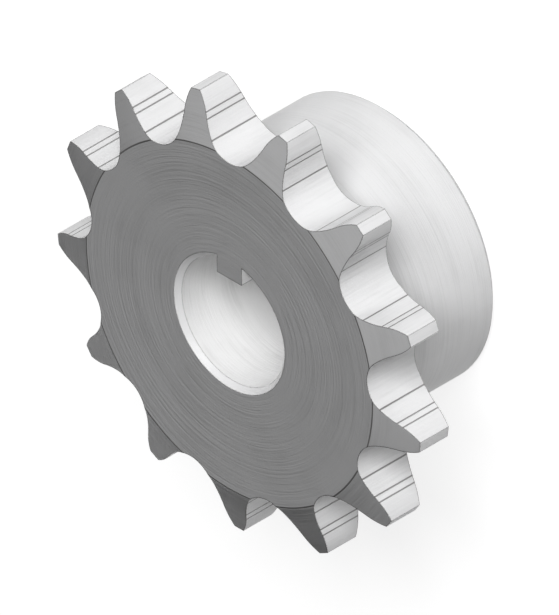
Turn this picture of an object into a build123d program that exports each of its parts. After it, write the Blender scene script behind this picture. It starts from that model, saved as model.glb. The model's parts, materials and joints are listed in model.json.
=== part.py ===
from build123d import *
from math import acos, atan2, cos, degrees, hypot, pi, radians, sin, sqrt, tan
import os

# Chain sprocket, one piece of steel: toothed plate, hub on one side, keyed bore.
# Millimetres. The bore lies on Z and the hub's end face on z = 0, so the part
# stands on its hub with the toothed plate on top. The first tooth gap and the key
# are centred on +Y.

# Chain that the teeth take
pitch = 19.05
roller_diameter = 11.91
seat_allowance = 0.076

# Toothed plate
teeth = 13
plate_width = 11.66
tip_height_share = 0.3
relief_height = 9.525
relief_depth = 2.38

# Hub
hub_diameter = 55.0
hub_projection = 26.0
hub_chamfer = 1.0

# Bore, and the key that stands in it
bore_diameter = 25.0
bore_chamfer = 1.0
key_width = 6.0
key_height = 3.0

# How far each cutter runs past the metal that it cuts
overcut = 0.5

length = hub_projection + plate_width
half_tooth = pi / teeth
pitch_radius = pitch / 2 / sin(half_tooth)
outside_radius = pitch * (tip_height_share + 0.5 / tan(half_tooth))


def polar_point(center, radius, angle):
    return (center[0] + radius * cos(angle), center[1] + radius * sin(angle))


def center_arc(center, radius, start, end):
    return CenterArc(center, radius, degrees(start), degrees(end - start))


def gap_flank():
    # Right-hand side of the gap on +Y, from its foot out past the turned tip: the
    # seat that the roller lies in, the working curve that it rolls up, a short
    # straight and the topping curve, each tangent to the next.
    seat_angle = radians(35 + 60 / teeth)
    pressure_span = radians(18 - 56 / teeth)
    topping_angle = radians(17 - 64 / teeth)
    working_offset = 0.8 * roller_diameter
    topping_offset = 1.4 * roller_diameter

    seat_center = (0, pitch_radius)
    seat_radius = (1.005 * roller_diameter + seat_allowance) / 2
    working_center = polar_point(seat_center, working_offset, pi - seat_angle)
    working_radius = seat_radius + working_offset
    topping_center = polar_point(seat_center, topping_offset, -half_tooth)
    topping_radius = (
        working_offset * cos(pressure_span)
        + topping_offset * cos(topping_angle)
        - working_radius
    )

    # The straight leaves the working curve at this angle and ends at the topping curve
    straight_angle = seat_angle - pressure_span
    straight_start = polar_point(working_center, working_radius, -straight_angle)
    straight_end = polar_point(topping_center, topping_radius, pi - straight_angle)

    # The topping curve ends where it crosses the circle just outside the tips
    end_radius = outside_radius + overcut
    center_distance = hypot(*topping_center)
    cosine = (topping_radius**2 + center_distance**2 - end_radius**2) / (
        2 * topping_radius * center_distance
    )
    topping_end = atan2(*reversed(topping_center)) + pi - acos(cosine)

    return [
        center_arc(seat_center, seat_radius, -pi / 2, -seat_angle),
        center_arc(working_center, working_radius, -seat_angle, -straight_angle),
        Line(straight_start, straight_end),
        center_arc(topping_center, topping_radius, pi - straight_angle, topping_end),
    ]


def gap_outline():
    # The two flanks of one gap, closed by an arc just outside the tips.
    right = gap_flank()
    left = [mirror(edge, Plane.YZ) for edge in right]
    crown = (0, outside_radius + overcut)
    closing = ThreePointArc(right[-1] @ 1, crown, left[-1] @ 1)
    return make_face(right + left + [closing])


def plate_blank():
    # Turned disc. Both of its sides fall away in a cone towards the tips, so that
    # the teeth find their way between the link plates.
    flat_radius = outside_radius - relief_height
    section = Polyline(
        (0, hub_projection),
        (flat_radius, hub_projection),
        (outside_radius, hub_projection + relief_depth),
        (outside_radius, length - relief_depth),
        (flat_radius, length),
        (0, length),
        close=True,
    )
    return revolve(Plane.XZ * make_face(section), Axis.Z)


def toothed_plate():
    # The disc with one gap cut for each tooth.
    start = Plane.XY.offset(hub_projection - overcut)
    gap = extrude(start * gap_outline(), plate_width + 2 * overcut)
    return plate_blank() - [Rot(Z=360 / teeth * i) * gap for i in range(teeth)]


def hub():
    # Turned boss, from its chamfered end face into the plate.
    radius = hub_diameter / 2
    middle = hub_projection + plate_width / 2
    section = Polyline(
        (0, 0),
        (radius - hub_chamfer, 0),
        (radius, hub_chamfer),
        (radius, middle),
        (0, middle),
        close=True,
    )
    return revolve(Plane.XZ * make_face(section), Axis.Z)


def bore():
    # Space of the bore, with the chamfer at both of its mouths.
    radius = bore_diameter / 2
    mouth = radius + bore_chamfer + overcut
    section = Polyline(
        (0, -overcut),
        (mouth, -overcut),
        (radius, bore_chamfer),
        (radius, length - bore_chamfer),
        (mouth, length + overcut),
        (0, length + overcut),
        close=True,
    )
    return revolve(Plane.XZ * make_face(section), Axis.Z)


def key():
    # Bar left standing along the bore, flush with both end faces. It takes the
    # place of a loose key in the shaft's keyway.
    mouth = bore_diameter / 2 + bore_chamfer + overcut
    inner_face = bore_diameter / 2 - key_height
    bar = Box(
        key_width,
        mouth - inner_face,
        length + 2 * overcut,
        align=(Align.CENTER, Align.MIN, Align.MIN),
    )
    return Pos(0, inner_face, -overcut) * bar


def sprocket():
    return toothed_plate() + hub() - (bore() - key())


nodes = {"sprocket": sprocket()}

os.makedirs("parts", exist_ok=True)
for name, solid in nodes.items():
    solid.label = name
    export_step(solid, f"parts/{name}.step")
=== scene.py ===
import json
import math

import bpy
from mathutils import Matrix, Vector


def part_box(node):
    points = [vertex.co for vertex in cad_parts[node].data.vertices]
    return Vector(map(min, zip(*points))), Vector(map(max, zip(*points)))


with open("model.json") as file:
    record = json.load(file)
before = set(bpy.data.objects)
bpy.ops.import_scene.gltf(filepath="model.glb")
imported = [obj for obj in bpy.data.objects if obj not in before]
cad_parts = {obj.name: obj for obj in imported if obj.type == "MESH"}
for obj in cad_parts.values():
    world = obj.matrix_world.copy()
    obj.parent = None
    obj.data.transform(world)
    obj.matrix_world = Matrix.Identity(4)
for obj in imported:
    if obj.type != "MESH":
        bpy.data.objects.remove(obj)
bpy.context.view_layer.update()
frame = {"nodes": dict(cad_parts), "record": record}
print("frame loaded:", ", ".join(frame["nodes"]))


class Wire:
    # one output in a node tree, so that shader maths reads as plain arithmetic
    def __init__(self, paint, socket):
        self.paint = paint
        self.socket = socket

    def maths(self, operation, *terms):
        return self.paint.node("ShaderNodeMath", {"operation": operation}, dict(enumerate(terms)))

    def __add__(self, other):
        return self.maths("ADD", self, other)

    def __radd__(self, other):
        return self.maths("ADD", other, self)

    def __sub__(self, other):
        return self.maths("SUBTRACT", self, other)

    def __rsub__(self, other):
        return self.maths("SUBTRACT", other, self)

    def __mul__(self, other):
        return self.maths("MULTIPLY", self, other)

    def __rmul__(self, other):
        return self.maths("MULTIPLY", other, self)

    def __abs__(self):
        return self.maths("ABSOLUTE", self)


class Paint:
    # a node tree and the one way that nodes are added to it
    def __init__(self, owner):
        owner.use_nodes = True
        self.tree = owner.node_tree
        self.tree.nodes.clear()

    def node(self, kind, settings=None, sockets=None, output=0):
        made = self.tree.nodes.new(kind)
        for key, value in (settings or {}).items():
            setattr(made, key, value)
        for key, value in (sockets or {}).items():
            if isinstance(value, Wire):
                self.tree.links.new(value.socket, made.inputs[key])
            else:
                made.inputs[key].default_value = value
        return Wire(self, made.outputs[output]) if made.outputs else None

    def vector(self, operation, *terms, output=0):
        return self.node("ShaderNodeVectorMath", {"operation": operation}, dict(enumerate(terms)), output)

    def split(self, vector):
        return [self.node("ShaderNodeSeparateXYZ", sockets={0: vector}, output=axis) for axis in "XYZ"]

    def join(self, x, y, z):
        return self.node("ShaderNodeCombineXYZ", sockets={0: x, 1: y, 2: z})

    def rise(self, value, start, end):
        # 0 before start, 1 after end and smooth between them
        return self.node("ShaderNodeMapRange", {"interpolation_type": "SMOOTHSTEP"},
                         {"Value": value, "From Min": start, "From Max": end})

    def noise(self, place, scale, detail, roughness):
        # centred on 0, about 0.5 either way
        return self.node("ShaderNodeTexNoise", sockets={
            "Vector": place, "Scale": scale, "Detail": detail, "Roughness": roughness,
        }, output="Fac") - 0.5

    def lesser(self, first, second):
        return self.node("ShaderNodeMath", {"operation": "MINIMUM"}, {0: first, 1: second})

    def greater(self, first, second):
        return self.node("ShaderNodeMath", {"operation": "MAXIMUM"}, {0: first, 1: second})

    def blend(self, share, first, second):
        # sockets 6 and 7 are the Mix node's colours, and output 2 is their mix
        return self.node("ShaderNodeMix", {"data_type": "RGBA"}, {0: share, 6: first, 7: second}, 2)

    def mixShader(self, share, first, second):
        return self.node("ShaderNodeMixShader", sockets={0: share, 1: first, 2: second})

    def seen(self):
        # 1 for rays from the camera and for those that a shiny or clear surface sends on
        rays = [self.node("ShaderNodeLightPath", output=f"Is {kind} Ray")
                for kind in ("Camera", "Glossy", "Transmission")]
        return self.lesser(sum(rays), 1.0)


perMetre = 1000                      # millimetres

# driving sizes of the part, in millimetres, that the frame doesn't tell
sprocketSizes = {
    "pitch": 19.05,
    "rollerDiameter": 11.91,
    "seatAllowance": 0.076,
    "reliefHeight": 9.525,           # from the tips in to where the plate's sides are flat
    "hubDiameter": 55.0,
    "boreChamfer": 1.0,
    "keyWidth": 6.0,
}


def polar(centre, radius, angle):
    return centre + Vector((math.cos(angle), math.sin(angle))) * radius


def flankJoints(sizes, teeth):
    # radii at which one curve of a flank runs into the next, for the tooth gap on +Y: seat into
    # working curve, that into a short straight, and the straight into the tip's curve. The angles
    # and the shares of the roller are those of the standard tooth form for roller chain.
    roller = sizes["rollerDiameter"]
    halfTooth = math.pi / teeth
    seatAngle = math.radians(35 + 60 / teeth)
    pressureSpan = math.radians(18 - 56 / teeth)
    tipAngle = math.radians(17 - 64 / teeth)
    straightAngle = seatAngle - pressureSpan
    workingOffset = 0.8 * roller
    tipOffset = 1.4 * roller

    seatCentre = Vector((0, sizes["pitch"] / 2 / math.sin(halfTooth)))
    seatRadius = (1.005 * roller + sizes["seatAllowance"]) / 2
    workingCentre = polar(seatCentre, workingOffset, math.pi - seatAngle)
    workingRadius = seatRadius + workingOffset
    tipCentre = polar(seatCentre, tipOffset, -halfTooth)
    tipRadius = workingOffset * math.cos(pressureSpan) + tipOffset * math.cos(tipAngle) - workingRadius
    return [
        polar(seatCentre, seatRadius, -seatAngle).length,
        polar(workingCentre, workingRadius, -straightAngle).length,
        polar(tipCentre, tipRadius, math.pi - straightAngle).length,
    ]


def findPlaces(sizes):
    # where the finish changes, in millimetres from the bore's axis
    mounts = {mount["name"]: mount["dims"] for mount in frame["record"]["mounts"]}
    mouthRadius = mounts["keyed_bore"]["r_mm"] + sizes["boreChamfer"]
    hubRadius = sizes["hubDiameter"] / 2
    tipRadius = -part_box("sprocket")[0].y * perMetre      # one tooth points along -Y
    joints = flankJoints(sizes, mounts["chain_teeth"]["count"])
    return {
        "boreTo": (mouthRadius + hubRadius) / 2,         # upright walls inside this are the bore's
        "hubTo": (hubRadius + joints[0]) / 2,            # upright walls outside this are flanks
        "flatTo": tipRadius - sizes["reliefHeight"],     # flat sides inside this, cones outside
        "keySide": sizes["keyWidth"] / 2,
        "flankJoints": joints,
    }


steelLook = {
    # light grey steel: the turned flat sides and cones, the hub and flanks, and the bore. The flat sides
    # get a darker copy and the upright walls a lighter one, partly their finish and partly painted shade
    # and light for the way each faces; the bore's walls are lighter still, painted light
    "plate": (0.66, 0.66, 0.665, 1),
    "walls": (0.74, 0.74, 0.745, 1),
    "bore": (0.88, 0.88, 0.88, 1),
    "oil": (0.15, 0.147, 0.144, 1),  # dark film that wiping leaves in marks and in lines, and painted shade along the edges
    "plateMetallic": 0.93,
    "wallMetallic": 0.12,
    # roughness, and what a mark, a cloud of oil, a deburred edge and a line add to it
    "roughness": 0.34,
    "markRoughness": 0.12,
    "cloudRoughness": 0.12,
    "edgeRoughness": -0.1,
    "lineRoughness": 0.1,
    # the noise behind each mark: its scale per millimetre, its octaves and the weight of the fine ones
    "rings": (2.2, 4, 0.7),
    "broadRings": (0.25, 2, 0.5),
    "facets": (1.6, 4, 0.65),
    "clouds": (0.09, 3, 0.55),
    "grain": (2.6, 2, 0.6),
    "ringWaver": 0.6,                # how much the rings change round the axis
    "broadWaver": 2.0,
    "ringSlope": 1.37,               # rings to a millimetre of height, against those to one of radius
    "facetStretch": 0.04,            # how much the facets change along the width of a tooth
    # depths: of the marks in metres, and of the rest as shares of it
    "markDepth": 0.00007,
    "broadDepth": 0.5,
    "grainDepth": 0.25,
    "lineDepth": 0.8,
    "lineReach": (0.048, 0.192),     # millimetres from a line's middle between which it fades
    "edgeWidth": 0.0003,             # metres, over which an edge is rounded
    "edgeLean": (0.005, 0.07),       # how far the surface leans there before the edge counts as one
    # where one finish, and the painted light and shade that goes with it, gives way to another: how
    # upright a face is, from 0 for a flat one to 1, where walls begin and where the bore's chamfer ends,
    # and then widths in millimetres
    "wallFrom": (0.15, 0.25),
    "reamedFrom": (0.5, 0.8),
    "zoneEdge": 0.2,
    "keyEdge": (0.02, 0.06),         # measured from the sides of the key outwards
    # what darkens the steel: how much each mark tells, from where, and how much oil each place holds; on
    # the edges the darkening is painted shade, not oil
    "markTone": 0.6,
    "broadTone": 0.45,
    "cloudTone": 0.5,
    "oilyTone": (0.1, -0.45),
    "markOil": 0.285,
    "lineOil": 0.85,
    "edgeOil": 0.85,
}


def machinedSteel(look, places):
    material = bpy.data.materials.new("machined_steel")
    paint = Paint(material)
    metres = paint.node("ShaderNodeTexCoord", output="Object")
    facing = paint.node("ShaderNodeTexCoord", output="Normal")
    place = paint.vector("MULTIPLY", metres, (perMetre, perMetre, perMetre))
    x, y, z = paint.split(place)
    spoke = paint.join(x, y, 0)
    radius = paint.vector("LENGTH", spoke, output="Value")
    across, along, _ = paint.split(paint.vector("NORMALIZE", spoke))

    def outside(limit):
        return paint.rise(radius, limit - look["zoneEdge"], limit)

    def lineAt(middle):
        return 1 - paint.rise(abs(radius - middle), *look["lineReach"])

    # masks: upright walls against flat sides, then the walls of the bore, of the teeth and of the
    # key, which is what the bore has on +Y between the key's two sides
    uprightness = 1 - abs(paint.split(facing)[2])
    upright = paint.rise(uprightness, *look["wallFrom"])
    inBore = 1 - outside(places["boreTo"])
    boreWall = inBore * paint.rise(uprightness, *look["reamedFrom"])
    flank = upright * outside(places["hubTo"])
    keyStart, keyEnd = [places["keySide"] + margin for margin in look["keyEdge"]]
    onKey = inBore * paint.rise(y, 0, 1) * (1 - paint.rise(abs(x), keyStart, keyEnd))
    cutAlong = upright * paint.greater(flank, onKey)

    # turning leaves rings, which waver a little round the axis; on a cone, height counts too
    ring = radius + z * look["ringSlope"]

    def turned(noise, waver):
        return paint.noise(paint.join(ring, across * waver, along * waver), *noise)

    rings = turned(look["rings"], look["ringWaver"])
    broad = turned(look["broadRings"], look["broadWaver"]) * (1 - cutAlong)
    # the cutter leaves facets and fine lines that run the width of a tooth
    facets = paint.noise(paint.join(x, y, z * look["facetStretch"]), *look["facets"])
    marks = rings + (facets - rings) * cutAlong

    # a line where one curve of a flank runs into the next, and round the flat of the plate's sides
    flankLines = sum(lineAt(joint) for joint in places["flankJoints"]) * flank
    lines = flankLines + lineAt(places["flatTo"]) * (1 - upright)

    # oil and handling leave faint clouds over a fine grain
    clouds = paint.noise(place, *look["clouds"])
    grain = paint.noise(place, *look["grain"])

    height = marks + broad * look["broadDepth"] + grain * look["grainDepth"] - lines * look["lineDepth"]
    rounded = paint.node("ShaderNodeBevel", {"samples": 6}, {"Radius": look["edgeWidth"]})
    normal = paint.node("ShaderNodeBump", sockets={
        "Strength": 1.0, "Distance": look["markDepth"], "Height": height, "Normal": rounded,
    })

    # how far the rounded normal leans from the true one tells how near an edge is
    flat = paint.node("ShaderNodeNewGeometry", output="True Normal")
    lean = 1 - paint.vector("DOT_PRODUCT", rounded, flat, output="Value")
    edge = paint.rise(lean, *look["edgeLean"])

    tone = marks * look["markTone"] + broad * look["broadTone"] + clouds * look["cloudTone"]
    oily = paint.rise(tone, *look["oilyTone"]) * look["markOil"]
    # on the edges this darkening is painted shade: a dark line in place of the dim surroundings that a
    # rounded edge mirrors
    oil = oily + lines * look["lineOil"] + edge * look["edgeOil"]
    # flat sides get a darker copy of the steel and upright walls a lighter one, partly finish and partly
    # painted shade and light by which way a face points; the bore's walls get a lighter copy still,
    # painted light
    colour = paint.blend(upright, look["plate"], look["walls"])
    colour = paint.blend(boreWall, colour, look["bore"])
    roughness = (
        look["roughness"] + marks * look["markRoughness"] + clouds * look["cloudRoughness"]
        + edge * look["edgeRoughness"] + lines * look["lineRoughness"]
    )
    shader = paint.node("ShaderNodeBsdfPrincipled", sockets={
        "Base Color": paint.blend(oil, colour, look["oil"]),
        "Metallic": look["plateMetallic"] + (look["wallMetallic"] - look["plateMetallic"]) * upright,
        "Roughness": roughness,
        "Normal": normal,
    })
    paint.node("ShaderNodeOutputMaterial", sockets={"Surface": shader})
    return material


steel = machinedSteel(steelLook, findPlaces(sprocketSizes))
for node in frame["nodes"].values():
    node.data.materials.clear()
    node.data.materials.append(steel)
print("steel done")


white = (1, 1, 1, 1)

floorLook = {
    "colour": (0.34, 0.34, 0.34, 1),
    "size": 6.0,             # metres
    "gap": 0.0002,           # metres under the part, so that the two faces don't flicker
    "glow": 0.83,            # white that the camera and reflections see on top of the floor's own light
}


def makeFloor(look):
    half = look["size"] / 2
    corners = [(x * half, y * half, -look["gap"]) for x, y in ((-1, -1), (1, -1), (1, 1), (-1, 1))]
    mesh = bpy.data.meshes.new("floor")
    mesh.from_pydata(corners, [], [(0, 1, 2, 3)])
    floor = bpy.data.objects.new("floor", mesh)
    bpy.context.scene.collection.objects.link(floor)

    material = bpy.data.materials.new("pale_floor")
    paint = Paint(material)
    matt = paint.node("ShaderNodeBsdfDiffuse", sockets={"Color": look["colour"]})
    glow = paint.node("ShaderNodeEmission", sockets={"Color": white, "Strength": look["glow"]})
    pale = paint.node("ShaderNodeAddShader", sockets={0: matt, 1: glow})
    shown = paint.mixShader(paint.seen(), matt, pale)
    # from underneath the floor is clear, so that the part's lower end can be looked at
    under = paint.node("ShaderNodeNewGeometry", output="Backfacing")
    surface = paint.mixShader(under, shown, paint.node("ShaderNodeBsdfTransparent"))
    paint.node("ShaderNodeOutputMaterial", sockets={"Surface": surface})
    floor.data.materials.append(material)


makeFloor(floorLook)
print("floor done")


def direction(bearing, height):
    # bearing in degrees from +Y towards +X, height in degrees above the floor
    bearing, height = math.radians(bearing), math.radians(height)
    level = math.cos(height)
    return Vector((math.sin(bearing) * level, math.cos(bearing) * level, math.sin(height)))


worldLook = {
    "fill": 0.03,            # light from all round, as a strength of white
    # what steel mirrors overhead: a soft ring of light round this bearing and height
    "pole": (300, 76),
    "ring": 0.66,            # its strength of white
    "rise": (0.31, 0.98),    # cosines of the angle from the pole between which the light rises
    "dip": (0.93, 1.0),      # and between which some of it goes again, up to the pole itself
    "dipDepth": 0.5,
    "horizon": (0.04, 0.0),  # heights between which the white past the floor's edge begins
}


def makeWorld(look):
    world = bpy.data.worlds.new("studio")
    paint = Paint(world)
    towards = paint.node("ShaderNodeTexCoord", output="Generated")
    nearness = paint.vector("DOT_PRODUCT", towards, direction(*look["pole"]), output="Value")
    dip = 1 - paint.rise(nearness, *look["dip"]) * look["dipDepth"]
    ring = paint.rise(nearness, *look["rise"]) * dip * look["ring"]
    below = paint.rise(paint.split(towards)[2], *look["horizon"])
    dark, bright = [paint.node("ShaderNodeBackground", sockets={"Color": white, "Strength": strength})
                    for strength in (look["fill"], 1.0)]
    surface = paint.mixShader(paint.seen() * (below + ring), dark, bright)
    paint.node("ShaderNodeOutputWorld", sockets={"Surface": surface})
    bpy.context.scene.world = world


lampLook = {
    # steel doesn't mirror the key light, which is so small that it would burn out the flat sides
    "key": {"bearing": 27, "height": 37, "distance": 1.8, "size": 1.0, "watts": 37, "mirrored": False},
    "panel": {"bearing": 24, "height": 36, "distance": 2.0, "size": 2.4, "watts": 8, "mirrored": True},
}
lampTarget = Vector((0, 0, 0.02))    # metres, about the middle of the part


def makeLamp(name, look):
    towards = direction(look["bearing"], look["height"])
    light = bpy.data.lights.new(name, "AREA")
    light.shape = "DISK"
    light.size = look["size"]
    light.energy = look["watts"]
    lamp = bpy.data.objects.new(name, light)
    lamp.visible_glossy = look["mirrored"]
    lamp.location = lampTarget + towards * look["distance"]
    lamp.rotation_euler = towards.to_track_quat("Z", "Y").to_euler()
    bpy.context.scene.collection.objects.link(lamp)


makeWorld(worldLook)
for name, look in lampLook.items():
    makeLamp(name, look)
print("lights done")


cameraLook = {
    "pictureSize": (559, 615),        # pixels
    "faceCentreAt": (229.2, 323.7),   # pixels, where the bore's front mouth has its centre
    "pixelsPerMetre": 5809.0,
    "distance": 1.0,                  # metres
}


def makeCamera(look):
    # level with none of the part's axes: all three are foreshortened alike, with +Y straight up
    right = Vector((1, 0, -1)).normalized()
    up = Vector((-1, 2, -1)).normalized()
    back = Vector((1, 1, 1)).normalized()
    width, height = look["pictureSize"]
    across, down = look["faceCentreAt"]
    scale = look["pixelsPerMetre"]
    faceCentre = Vector((0, 0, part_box("sprocket")[1].z))
    aim = faceCentre + right * (width / 2 - across) / scale - up * (height / 2 - down) / scale
    data = bpy.data.cameras.new("camera")
    data.type = "ORTHO"
    data.ortho_scale = max(width, height) / scale
    camera = bpy.data.objects.new("camera", data)
    turn = Matrix((right, up, back)).transposed().to_4x4()
    camera.matrix_world = Matrix.Translation(aim + back * look["distance"]) @ turn
    bpy.context.scene.collection.objects.link(camera)
    bpy.context.scene.camera = camera


makeCamera(cameraLook)
bpy.context.scene.view_settings.view_transform = "Standard"
print("camera done")
